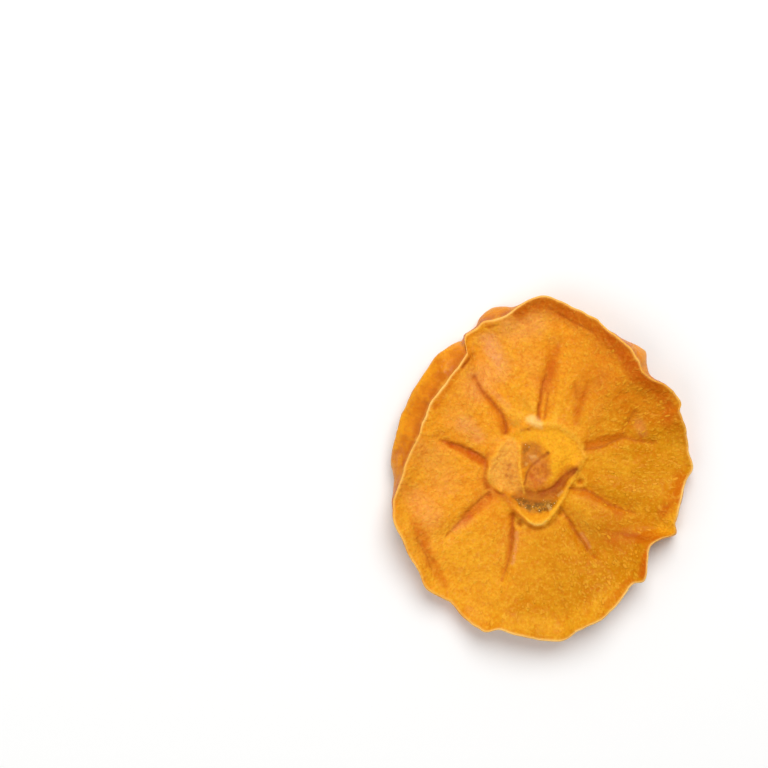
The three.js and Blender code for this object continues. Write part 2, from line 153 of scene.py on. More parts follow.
# Colour strokes on the flesh: strength, width at the start, width at the end, path
strokes = {
    "cut": [
        (0.9, 0.42, 0.38, [(-5.9, 7.6), (-5.7, 9.4), (-6.5, 11.2), (-8.1, 13.3), (-9.6, 15.0)]),
        (0.75, 0.38, 0.15, [(-9.6, 15.0), (-11.0, 16.9), (-12.1, 18.7)]),
        (0.75, 0.34, 0.25, [(0.7, 10.4), (0.5, 12.4), (1.2, 14.9), (1.4, 16.4), (2.2, 19.4)]),
        (0.4, 0.3, 0.2, [(1.8, 10.4), (2.1, 12.2), (2.3, 13.6), (2.8, 15.4)]),
        (0.35, 0.35, 0.3, [(8.1, 14.4), (8.0, 17.8)]),
        (0.3, 0.3, 0.3, [(9.6, 15.0), (10.5, 17.8)]),
        (0.7, 0.36, 0.3, [(9.9, 4.2), (12.6, 4.6), (15.4, 5.5), (17.6, 6.5)]),
        (0.6, 0.32, 0.2, [(18.0, 6.6), (20.3, 5.9), (23.8, 5.4)]),
        (0.35, 0.36, 0.25, [(17.7, 8.1), (18.8, 10.4), (19.8, 12.0)]),
        (0.8, 0.38, 0.36, [(7.0, -3.5), (10.7, -3.8), (12.8, -5.1), (14.9, -6.6)]),
        (0.65, 0.34, 0.15, [(14.9, -6.6), (17.5, -7.7), (20.2, -8.5)]),
        (0.75, 0.34, 0.3, [(5.0, -7.2), (6.2, -9.2), (7.4, -11.2), (9.0, -13.6), (10.4, -15.8)]),
        (0.45, 0.28, 0.15, [(10.4, -15.8), (12.2, -17.6)]),
        (0.35, 0.26, 0.2, [(7.2, -8.8), (8.8, -11.2), (10.8, -14.8)]),
        (0.8, 0.4, 0.32, [(-4.5, -8.6), (-4.7, -10.8), (-4.6, -13.6), (-5.0, -16.4)]),
        (0.65, 0.32, 0.12, [(-5.0, -16.4), (-5.7, -19.4), (-6.8, -22.0)]),
        (0.65, 0.38, 0.32, [(-9.2, -4.6), (-11.4, -6.3), (-14.0, -8.5)]),
        (0.55, 0.3, 0.2, [(-14.0, -8.9), (-15.9, -11.3), (-17.9, -13.1)]),
        (0.85, 0.38, 0.32, [(-10.0, 2.4), (-12.3, 3.8), (-14.9, 4.8), (-16.9, 5.5)]),
        (0.6, 0.3, 0.12, [(-16.9, 5.5), (-19.2, 6.3)]),
        # Painted shadow: dark line along the left edge of the core's raised flap
        (0.65, 0.42, 0.36, [(-10.0, 2.4), (-9.9, 0.6), (-10.4, -1.8), (-9.6, -3.4), (-8.2, -4.3),
                            (-6.6, -5.0)]),
        # Painted shadow: under the core's bottom lip, on its outer side
        (0.55, 0.34, 0.4, [(-3.0, -9.8), (-0.8, -11.5), (1.0, -11.7), (3.2, -10.8), (4.2, -9.6)]),
        (0.6, 0.32, 0.3, [(-2.7, 8.0), (-2.0, 8.4), (-1.2, 8.2)]),
        (0.8, 0.26, 0.3, [(7.6, 0.0), (5.6, -1.2), (4.6, -2.8), (3.0, -4.0), (0.8, -4.4)]),
        (0.75, 0.22, 0.26, [(7.8, -0.4), (6.4, -1.8), (5.2, -3.6), (3.8, -5.0)]),
        (0.45, 0.22, 0.2, [(2.2, 3.3), (2.6, 3.6)]),
        # Painted shade: short dark lines just inside the upper-left lip
        (0.95, 0.5, 0.4, [(-12.8, 23.1), (-13.8, 21.9), (-14.7, 20.8)]),
        (0.5, 0.3, 0.3, [(-9.4, 28.6), (-8.0, 29.2)]),
        # Painted shade in the fold at the lower left
        (0.5, 0.3, 0.2, [(-23.8, -13.6), (-22.8, -15.8), (-21.6, -17.8), (-21.0, -19.6)]),
        (0.3, 0.25, 0.2, [(-23.0, -14.4), (-21.8, -16.4), (-20.2, -18.6)]),
        # Painted shade in the crease at the lower right
        (0.45, 0.6, 0.5, [(16.0, -12.6), (20.0, -13.0), (24.0, -13.9)]),
        # Painted shade: dark line just inside the top lip
        (0.5, 0.3, 0.25, [(2.4, 32.4), (6.6, 30.4), (11.4, 27.6)]),
    ],
    "red": [
        (0.85, 0.85, 0.6, [(-6.2, 8.0), (-6.8, 11.2), (-9.8, 14.9), (-12.1, 18.6)]),
        (0.8, 0.45, 0.5, [(0.8, 10.6), (0.8, 13.0), (1.5, 16.0)]),
        (0.6, 0.35, 0.35, [(2.0, 10.6), (2.1, 13.0), (2.7, 16.0)]),
        (0.8, 0.7, 1.0, [(1.9, 16.0), (2.6, 18.8), (3.4, 21.6)]),
        (0.45, 0.8, 0.4, [(3.4, 21.6), (4.8, 26.4)]),
        (0.75, 0.7, 2.0, [(8.4, 9.4), (8.8, 13.0), (9.2, 16.0)]),
        (0.4, 1.1, 0.8, [(9.2, 16.6), (9.8, 19.4)]),
        (0.6, 0.65, 0.55, [(10.4, 4.7), (13.6, 5.4), (17.6, 7.0)]),
        (0.6, 0.6, 0.4, [(18.0, 6.8), (20.3, 6.2), (24.0, 5.6)]),
        (0.3, 0.5, 0.4, [(17.8, 8.2), (20.0, 12.0)]),
        (0.35, 0.8, 0.5, [(8.0, -4.0), (12.6, -5.3), (20.0, -8.7)]),
        (0.4, 0.6, 0.5, [(5.8, -8.8), (9.0, -13.2), (12.0, -17.4)]),
        (0.75, 0.7, 0.35, [(-4.8, -9.0), (-4.8, -13.2), (-5.5, -17.6), (-6.8, -22.0)]),
        (1.0, 1.05, 0.95, [(-8.6, -5.4), (-11.6, -7.5), (-14.2, -9.9)]),
        (0.75, 0.65, 0.3, [(-14.2, -9.9), (-17.6, -12.9)]),
        (0.9, 0.6, 0.4, [(-10.4, 2.2), (-12.6, 3.5), (-15.0, 4.6), (-19.2, 6.2)]),
        (0.6, 0.7, 0.6, [(-10.4, -2.0), (-9.4, -3.9), (-6.4, -5.4)]),
        (0.5, 0.5, 0.4, [(-9.7, 3.0), (-8.6, 3.9)]),
        (0.5, 0.6, 0.6, [(-6.4, -5.4), (-4.6, -7.6), (-2.8, -9.4)]),
        (0.3, 0.4, 0.4, [(-3.0, -8.2), (-0.9, -9.4), (0.8, -9.6), (2.6, -8.8)]),
        (0.5, 0.4, 0.5, [(-1.0, -0.4), (0.2, -2.0), (0.4, -3.2)]),
        (0.4, 0.3, 0.3, [(1.4, 0.8), (2.2, -0.8)]),
    ],
    # Deeper orange, much of it painted shade: on the slopes inside the upper and right rim, in the crease and
    # the fold by the tab at the lower right, in the fold at the lower left and inside the upper-left lip, and
    # a broad darkening of the right side
    "deepAndShade": [
        (0.85, 1.7, 1.7, [(-3.4, 32.2), (0.6, 33.4), (4.8, 32.2), (10.2, 29.9), (14.6, 26.8)]),
        (1.0, 2.1, 2.2, [(14.0, 27.2), (17.0, 24.2), (18.8, 21.4), (21.0, 19.0), (23.2, 17.2)]),
        (0.75, 1.6, 1.8, [(23.2, 17.2), (26.4, 13.8), (26.6, 10.6)]),
        (0.6, 1.2, 1.4, [(29.2, -1.6), (28.4, -4.4), (26.0, -8.6)]),
        (0.7, 1.9, 1.4, [(15.5, -13.2), (20.0, -13.2), (24.2, -13.0)]),
        (0.9, 0.9, 0.8, [(23.2, -14.8), (21.9, -17.4), (21.2, -20.4)]),
        (0.35, 0.8, 1.0, [(14.0, -26.6), (19.0, -22.0)]),
        (0.5, 1.1, 1.0, [(-24.2, -10.0), (-23.0, -14.0), (-20.4, -19.4), (-18.4, -22.6)]),
        (0.4, 1.0, 0.8, [(-14.6, 21.6), (-17.4, 17.6), (-20.2, 13.0)]),
        (0.15, 5.0, 5.0, [(14.0, -12.0), (20.0, -13.0)]),
        (0.85, 0.9, 0.4, [(-10.4, 1.6), (-12.8, 2.9), (-15.4, 4.1), (-18.0, 5.5)]),
        (0.5, 0.7, 0.5, [(10.6, 5.4), (14.0, 6.4), (18.0, 7.8)]),
        (0.3, 5.0, 5.0, [(12.0, 24.0), (21.0, 13.0)]),
        (0.5, 1.8, 1.4, [(2.6, 17.0), (3.8, 24.0)]),
        (0.45, 1.6, 1.2, [(10.6, -5.0), (17.4, -9.0)]),
    ],
    "brown": [
        (0.8, 0.8, 0.8, [(-3.6, -4.4), (-1.8, -5.4), (0.8, -5.6), (3.4, -4.8)]),
        (0.6, 0.8, 0.6, [(-6.6, -5.2), (-5.0, -6.2)]),
    ],
    "rust": [
        (1.0, 0.7, 1.3, [(8.0, 0.2), (6.4, -0.8), (5.2, -2.4), (3.8, -4.0), (1.6, -4.6)]),
        (0.7, 0.9, 0.9, [(5.6, -2.8), (4.4, -4.6), (3.2, -5.6)]),
        (0.85, 1.0, 0.8, [(1.6, -4.4), (-0.4, -4.6), (-2.2, -4.0)]),
        (0.8, 0.4, 0.35, [(2.5, 3.4), (0.8, 2.2), (-0.9, 0.8), (-1.8, -0.9), (-2.1, -2.8)]),
        (0.6, 0.5, 0.5, [(-4.6, -5.2), (-2.4, -6.0), (0.2, -6.4), (2.8, -5.8), (4.6, -4.2)]),
        (0.4, 0.4, 0.4, [(2.4, -8.0), (3.8, -6.6)]),
    ],
    "vein": [
        (0.75, 1.1, 0.9, [(-6.4, 12.4), (-3.6, 11.2), (-0.6, 10.2)]),
        (0.6, 0.8, 0.6, [(-0.5, 10.2), (-0.4, 13.8)]),
        (0.35, 0.8, 0.5, [(-0.4, 13.8), (-0.9, 17.0)]),
        (0.85, 0.7, 0.6, [(1.2, 9.5), (3.9, 9.4), (6.6, 7.7), (8.4, 6.2), (9.3, 4.6), (9.9, 3.0)]),
        (0.6, 0.5, 0.4, [(3.8, 9.6), (4.4, 13.0)]),
        (0.5, 0.45, 0.35, [(8.2, 6.6), (8.7, 9.4)]),
        (0.6, 0.55, 0.45, [(9.9, 3.0), (9.0, 1.2), (8.8, -0.6), (9.2, -1.2)]),
        (1.0, 0.42, 0.34, [(4.6, -7.0), (3.5, -8.8), (1.9, -10.4), (0.4, -10.9), (-0.9, -10.3),
                           (-2.0, -9.4)]),
        (0.7, 0.3, 0.3, [(8.3, -0.2), (6.9, -3.2), (5.4, -5.8), (4.6, -7.0)]),
        (0.45, 0.4, 0.35, [(-2.0, -9.4), (-3.6, -8.0)]),
        (0.85, 0.34, 0.3, [(-3.1, 4.9), (-3.3, 0.9), (-2.8, -2.2), (-2.3, -4.4)]),
        (0.6, 0.6, 0.5, [(-5.6, 7.0), (-7.4, 4.5), (-9.0, 1.7), (-9.8, -1.0), (-8.6, -2.9), (-7.2, -4.2)]),
        (0.4, 0.6, 0.5, [(8.0, -5.1), (12.0, -6.4), (15.4, -8.6)]),
        (0.4, 0.8, 0.6, [(-8.6, 6.4), (-6.6, 7.6)]),
    ],
    "rosy": [
        (0.6, 3.2, 3.2, [(-11.5, 17.5), (-8.0, 21.0)]),
        (1.0, 1.8, 1.9, [(-9.4, 26.0), (-7.4, 21.6)]),
        (0.25, 3.5, 3.5, [(-21.5, 3.5), (-18.5, -2.5)]),
        (0.6, 1.8, 1.8, [(-14.4, 9.4), (-12.0, 7.2)]),
        # Painted highlights: pink lines on the raised edges beside two chamber cuts
        (0.5, 0.6, 0.6, [(-5.4, 12.6), (-7.8, 15.0), (-9.8, 17.8)]),
        (0.6, 0.9, 0.9, [(-13.2, -9.6), (-15.8, -11.8)]),
        (0.45, 1.0, 0.8, [(20.6, 9.4), (21.4, 7.4)]),
        # Painted highlights: pink lines on the raised edges beside two more chamber cuts
        (0.85, 0.4, 0.35, [(-3.9, -12.4), (-4.0, -15.0), (-4.7, -18.6)]),
        (0.8, 0.4, 0.3, [(9.2, -12.6), (11.0, -15.2)]),
        (0.5, 3.0, 3.0, [(-5.0, 28.6), (-1.0, 29.6)]),
        (0.4, 2.5, 2.5, [(-24.0, -5.0), (-21.0, -9.0)]),
        (0.6, 0.7, 0.7, [(-1.0, 2.8), (0.6, 1.6)]),
    ],
    "yellow": [
        (0.7, 0.9, 0.9, [(3.4, 0.6), (3.6, -0.8), (3.0, -2.2)]),
        (0.5, 1.8, 1.8, [(-2.6, 12.6), (-3.6, 16.0)]),
        (0.5, 1.6, 1.4, [(4.6, 11.4), (5.2, 15.0)]),
        (0.4, 1.6, 1.8, [(11.6, 2.0), (20.0, 0.6)]),
        (0.4, 1.2, 1.4, [(8.2, -6.4), (10.4, -9.0)]),
        (0.75, 1.4, 1.6, [(-26.6, -7.6), (-25.6, -13.0), (-22.4, -19.6), (-19.4, -23.6)]),
        (0.8, 1.9, 2.1, [(-16.0, -25.8), (-10.0, -29.2), (-2.0, -31.0), (5.0, -31.6), (10.6, -28.4),
                         (15.6, -24.6)]),
        (0.5, 1.2, 1.2, [(29.6, 1.6), (28.8, 6.0)]),
        (0.35, 3.0, 3.0, [(-1.8, -14.0), (-0.6, -22.0)]),
        (0.8, 6.0, 6.0, [(-16.0, -15.0), (-9.0, -22.0)]),
    ],
}

# Patches of colour on the flesh: strength, softness of the edge, outline
areas = {
    "flap": [
        (0.95, 0.5, [(-5.6, 6.8), (-7.4, 4.4), (-9.0, 1.6), (-9.8, -1.1), (-8.6, -2.9), (-6.8, -4.3),
                     (-4.6, -4.4), (-2.9, -4.0), (-3.0, -1.0), (-3.5, 1.5), (-3.3, 4.8), (-4.0, 6.6)]),
    ],
    "clear": [
        (0.85, 0.9, [(24.2, -12.4), (27.6, -12.8), (28.6, -11.0), (28.4, -8.8), (29.0, -6.6), (27.8, -6.4),
                     (26.2, -9.2), (24.8, -10.8)]),
        (0.7, 0.6, [(-5.8, 7.2), (-3.8, 8.0), (0.2, 8.4), (0.2, 6.0), (-2.4, 5.8), (-3.4, 5.4), (-5.0, 6.4)]),
        (1.0, 0.6, [(0.4, 8.2), (4.0, 8.6), (6.6, 7.2), (8.4, 5.0), (9.0, 2.6), (8.0, 1.2), (5.8, 0.8),
                    (4.4, -0.6), (3.2, -0.2), (3.0, 2.6), (2.2, 4.4), (0.4, 6.4)]),
        (1.0, 0.35, [(-4.4, -6.8), (-2.8, -8.0), (-0.6, -8.9), (1.8, -8.9), (3.6, -7.4), (5.0, -5.0),
                     (6.6, -2.2), (7.6, -1.2), (5.2, -6.2), (3.4, -9.2), (1.6, -10.7), (0.2, -11.0),
                     (-1.6, -9.9), (-3.6, -8.2)]),
    ],
    "brown": [
        (0.9, 0.6, [(-2.6, 5.6), (-0.4, 6.0), (1.2, 4.8), (1.6, 3.0), (-0.2, 1.8), (-1.6, 0.8), (-2.7, 0.8)]),
    ],
    "rose": [
        (0.55, 0.9, [(-6.2, 2.0), (-4.4, 2.0), (-4.0, -1.6), (-5.0, -2.8), (-6.4, -1.4)]),
        (0.85, 0.8, [(2.0, 2.4), (0.6, 1.8), (-0.8, 0.4), (-1.6, -1.6), (-1.6, -3.2), (0.6, -3.6),
                     (2.2, -2.6), (3.0, -0.8), (2.7, 0.8)]),
    ],
    "dark": [
        (0.9, 0.45, [(-5.0, -5.0), (-3.0, -5.2), (-0.8, -6.1), (1.6, -6.3), (3.6, -6.0), (4.4, -6.0),
                     (3.0, -7.8), (1.0, -8.4), (-1.2, -8.0), (-3.0, -7.1)]),
        (0.45, 0.3, [(-2.4, 5.2), (-1.0, 5.0), (-1.4, 3.8), (-2.3, 3.4)]),
        (0.4, 0.25, [(2.0, 4.0), (2.8, 3.6), (2.4, 3.0)]),
    ],
    # Cream node of the core and other pale spots; some of the small spots are painted highlights
    "cream": [
        (0.95, 0.6, [(-1.9, 10.8), (-0.9, 11.3), (0.4, 10.8), (1.6, 9.6), (1.4, 8.7), (0.1, 9.0), (-0.9, 9.6),
                     (-1.8, 10.0)]),
        # Painted highlight: a small pale spot in the core
        (0.4, 0.25, [(-1.3, 3.0), (0.1, 2.8), (0.6, 2.2), (-0.8, 2.4)]),
        (0.3, 0.15, [(-2.0, 1.8), (-1.2, 1.6), (-1.4, 1.2), (-2.1, 1.3)]),
        (0.5, 0.35, [(-1.6, -10.2), (-0.4, -10.9), (1.2, -10.8), (2.2, -10.0), (1.4, -10.3), (0.2, -10.5),
                     (-0.8, -10.2)]),
        # Painted highlights: two small pale spots in the core
        (0.5, 0.18, [(2.2, -7.0), (2.8, -6.8), (3.2, -7.6), (2.7, -8.2)]),
        (0.4, 0.18, [(5.4, -3.8), (5.7, -4.0), (4.8, -5.2), (4.5, -5.0)]),
    ],
    "olive": [
        (0.3, 3.0, [(7.0, -9.0), (14.0, -9.0), (22.0, -12.0), (20.0, -16.0), (12.0, -15.0)]),
        (0.8, 0.6, [(-5.0, 10.4), (-3.4, 10.0), (-2.8, 9.0), (-3.8, 8.4), (-5.0, 9.0)]),
        (0.45, 1.0, [(7.4, -8.4), (9.0, -8.6), (12.6, -13.6), (11.4, -14.4)]),
        (0.4, 0.8, [(-3.4, 15.6), (-1.8, 15.0), (-0.8, 12.4), (-2.2, 12.8)]),
        (0.4, 0.4, [(17.8, 9.4), (18.4, 9.4), (20.2, 12.2), (19.7, 12.4)]),
        (0.6, 0.5, [(-4.4, -8.4), (-3.2, -8.8), (-2.4, -10.2), (-3.4, -11.4), (-4.4, -10.8)]),
        (0.35, 0.5, [(-2.4, -4.6), (1.0, -5.4), (3.2, -5.2), (1.0, -6.4), (-2.0, -5.8)]),
    ],
}
markNames = list(dict.fromkeys([*strokes, *areas]))

# Tones of the rim, with places in degrees round the axis
edgeLook = {
    "tab": 336.0,  # where a tab of the rim is folded out
    "tabWidth": 6,
    "lobe": 46,  # the lobe of peel at the upper right
    "lobeWidth": 7,
    "lobeShare": 0.35,
    # Painted highlight along the lips: its strength, and where it turns cream
    "lipHighlight": 0.78,
    "creamHighlight": [(310, 0.2, 0.8, 1), (118, 0.6, 0.95, 0.6)],  # place, cosines where it fades in, strength
}


def addObject(name, data):
    added = bpy.data.objects.new(name, data)
    bpy.context.scene.collection.objects.link(added)
    return added


def bell(distance, width, power=2):
    return np.exp(-((distance / width) ** power))


def easeBetween(low, high, value):
    t = np.clip((value - low) / (high - low), 0, 1)
    return t * t * (3 - 2 * t)


# Cuts the corners of a path twice, so that a stroke bends softly
def smoothed(path):
    points = [np.array(point, dtype=float) for point in path]
    for _ in range(2 if len(points) > 2 else 0):
        cut = [points[0]]
        for a, b in zip(points, points[1:]):
            cut += [a * 0.75 + b * 0.25, a * 0.25 + b * 0.75]
        points = cut + [points[-1]]
    return points


# Distance from points to a path, and how far along it they lie from 0 to 1
def nearestOnPath(x, y, path):
    nearest, share = np.full(np.shape(x), np.inf), np.zeros(np.shape(x))
    lengths = [math.dist(a, b) for a, b in zip(path, path[1:])]
    passed = 0
    for (ax, ay), (bx, by), length in zip(path, path[1:], lengths):
        dx, dy = bx - ax, by - ay
        along = np.clip(((x - ax) * dx + (y - ay) * dy) / length**2, 0, 1)
        distance = np.hypot(x - ax - along * dx, y - ay - along * dy)
        closer = distance < nearest
        share = np.where(closer, (passed + along * length) / sum(lengths), share)
        nearest = np.where(closer, distance, nearest)
        passed += length
    return nearest, share


def distanceToPath(x, y, path):
    return nearestOnPath(x, y, path)[0]


# Smooth random heights from -1 to 1, one lattice point every size along x and y
def softNoise(x, y, size, seed, wrap=256):
    lattice = np.random.default_rng(seed).uniform(-1, 1, (wrap, 256))
    u, v = x / size, y / size
    i, j = np.floor(u).astype(int), np.floor(v).astype(int)
    s, t = u - i, v - j
    s, t = s * s * (3 - 2 * s), t * t * (3 - 2 * t)
    i, iNext, j, jNext = i % wrap, (i + 1) % wrap, j % 256, (j + 1) % 256
    near = lattice[i, j] * (1 - s) + lattice[iNext, j] * s
    far = lattice[i, jNext] * (1 - s) + lattice[iNext, jNext] * s
    return near * (1 - t) + far * t


# The same round the axis: count cells to a full turn, each length long outwards
def roundNoise(angle, radius, count, length, seed):
    return softNoise((angle % fullTurn) / fullTurn * count, radius / length, 1, seed, wrap=count)


# Straight stretches with corners between them, for an edge that tears a little as it dries
def kinkedNoise(angle, count, seed):
    corners = np.random.default_rng(seed).uniform(-1, 1, count)
    heights = np.append(corners, corners[0])
    return np.interp((angle % fullTurn) / fullTurn * count, np.arange(count + 1), heights)


# Sum of the noises in one of the tables, on top of a start value
def layered(name, noise, *place, start=0):
    total = start
    for strength, *sizes, shift in noises[name]:
        total = total + strength * noise(*place, *sizes, shape["seed"] + shift)
    return total


# Upper lip and peel at each angle: a smooth closed cubic through the rim's stations
def rimAt(angle):
    stations = ((math.atan2(y, x) % fullTurn, math.hypot(x, y), lip, flare) for x, y, lip, flare in rim)
    table = np.array(sorted(stations))
    before, after = table[-2:].copy(), table[:2].copy()
    before[:, 0] -= fullTurn
    after[:, 0] += fullTurn
    table = np.vstack([before, table, after])
    at, values = table[:, 0], table[:, 1:]
    to = np.clip(np.searchsorted(at, angle, side="right"), 2, len(at) - 2)
    span = (at[to] - at[to - 1])[:, None]
    t = (angle[:, None] - at[to - 1][:, None]) / span
    start, end = values[to - 1], values[to]
    startSlope = (end - values[to - 2]) / (at[to] - at[to - 2])[:, None] * span
    endSlope = (values[to + 1] - start) / (at[to + 1] - at[to - 1])[:, None] * span
    cubic = 2 * (start - end) + startSlope + endSlope
    square = 3 * (end - start) - 2 * startSlope - endSlope
    radius, lip, flare = (((cubic * t + square) * t + startSlope) * t + start).T
    radius = radius + shape["rimRipple"] * layered("rim", kinkedNoise, angle)
    lip = lip + shape["lipRipple"] * layered("lip", kinkedNoise, angle)
    flare = layered("flare", kinkedNoise, angle, start=flare)
    drop = np.sqrt(np.maximum(0, shape["peelWidth"] ** 2 - flare**2))
    return {"radius": radius, "lip": lip, "flare": flare, "foot": lip - drop, "middle": lip - drop / 2}


# Height of grooves, pits, hollows and ridges over the plain web
def reliefAt(x, y):
    sunk = np.zeros(np.shape(x))
    for path, width, depth in grooves:
        distance = distanceToPath(x, y, path)
        sunk += depth * (1 - shape["shoulderDepth"]) * bell(distance, width)
        sunk += depth * shape["shoulderDepth"] * bell(distance, width * shape["shoulderWidth"])
    for path, width, depth in hollows:
        sunk += depth * bell(distanceToPath(x, y, path), width)
    for px, py in pits["places"]:
        sunk += pits["depth"] * bell(np.hypot(x - px, y - py), pits["width"])
    raised = np.zeros(np.shape(x))
    for path, width, height in ridges:
        raised += height * bell(distanceToPath(x, y, path), width)
    return raised - shape["deepest"] * np.tanh(sunk / shape["deepest"])


# Distance from points to a closed outline, negative inside it
def distanceToOutline(x, y, outline):
    inside = np.zeros(np.shape(x), dtype=bool)
    closed = outline + outline[:1]
    for (ax, ay), (bx, by) in zip(closed, closed[1:]):
        crosses = (ay > y) != (by > y)
        inside ^= crosses & (x < ax + (bx - ax) * (y - ay) / (by - ay if by != ay else 1))
    return distanceToPath(x, y, closed) * np.where(inside, -1, 1)


# How much of each stroke's and patch's colour lies at a point
def strokesAt(x, y):
    wanderX, wanderY = (layered(name, softNoise, x, y) for name in ("wanderX", "wanderY"))
    patchy = layered("patchy", softNoise, x, y, start=0.84)
    marks = {name: np.zeros(np.shape(x)) for name in markNames}
    for name, lines in strokes.items():
        power = 2 if name == "cut" else 2.6  # wider strokes have firmer edges
        for strength, startWidth, endWidth, path in lines:
            loose = 1 + max(startWidth, endWidth)
            distance, share = nearestOnPath(x + wanderX * loose, y + wanderY * loose, smoothed(path))
            width = startWidth + (endWidth - startWidth) * share
            marks[name] = np.maximum(marks[name], strength * bell(distance, width, power))
    for name, patches in areas.items():
        for strength, softness, outline in patches:
            distance = distanceToOutline(x + wanderX * 2, y + wanderY * 2, outline)
            marks[name] = np.maximum(marks[name], strength * easeBetween(softness, -softness, distance))
    marks = {name: np.clip(mark * patchy, 0, 1) for name, mark in marks.items()}
    dark, darkWidth = pits["dark"]
    pale, ringRadius, ringWidth = pits["ring"]
    for px, py in pits["places"]:
        distance = np.hypot(x - px + wanderX, y - py + wanderY)
        marks["cut"] = np.maximum(marks["cut"], dark * bell(distance, darkWidth))
        marks["vein"] = np.maximum(marks["vein"], pale * bell(distance - ringRadius, ringWidth))
    return marks


# The finer relief of the dried flesh: cuts, veins, small lumps, pulp that runs outwards
def fineReliefAt(x, y, angle, radius, marks):
    height = shape["veinHeight"] * (marks["vein"] + 0.5 * marks["cream"]) - shape["cutDepth"] * marks["cut"]
    height -= shape["redDepth"] * marks["red"] + shape["rustDepth"] * marks["rust"]
    height = layered("lumps", softNoise, x, y, start=height)
    pulp = layered("pulp", roundNoise, angle, radius)
    return height + shape["pulpHeight"] * pulp * easeBetween(*shape["pulpFades"], radius)


# Round the rim: where the peel is folded out and paler, how strong the painted highlight along the lip is,
# and how creamy that highlight turns
def edgeTones(angles):
    degrees = np.degrees(angles)
    tab = bell(degrees - edgeLook["tab"], edgeLook["tabWidth"])
    lobe = bell(degrees - edgeLook["lobe"], edgeLook["lobeWidth"])
    lipHighlight = layered("lipHighlight", roundNoise, angles, angles * 0, start=edgeLook["lipHighlight"])
    # Painted highlight along the lip, weaker at the upper right
    lipHighlight = lipHighlight * (0.9 - 0.1 * np.cos(angles - 0.6)) * (1 - 0.5 * tab)  # darker at the upper right
    creamHighlight = 0
    for place, low, high, strength in edgeLook["creamHighlight"]:
        facing = np.cos(angles - math.radians(place))
        creamHighlight = np.maximum(creamHighlight, strength * easeBetween(low, high, facing))
    return np.maximum(tab, edgeLook["lobeShare"] * lobe), lipHighlight, creamHighlight * lipHighlight


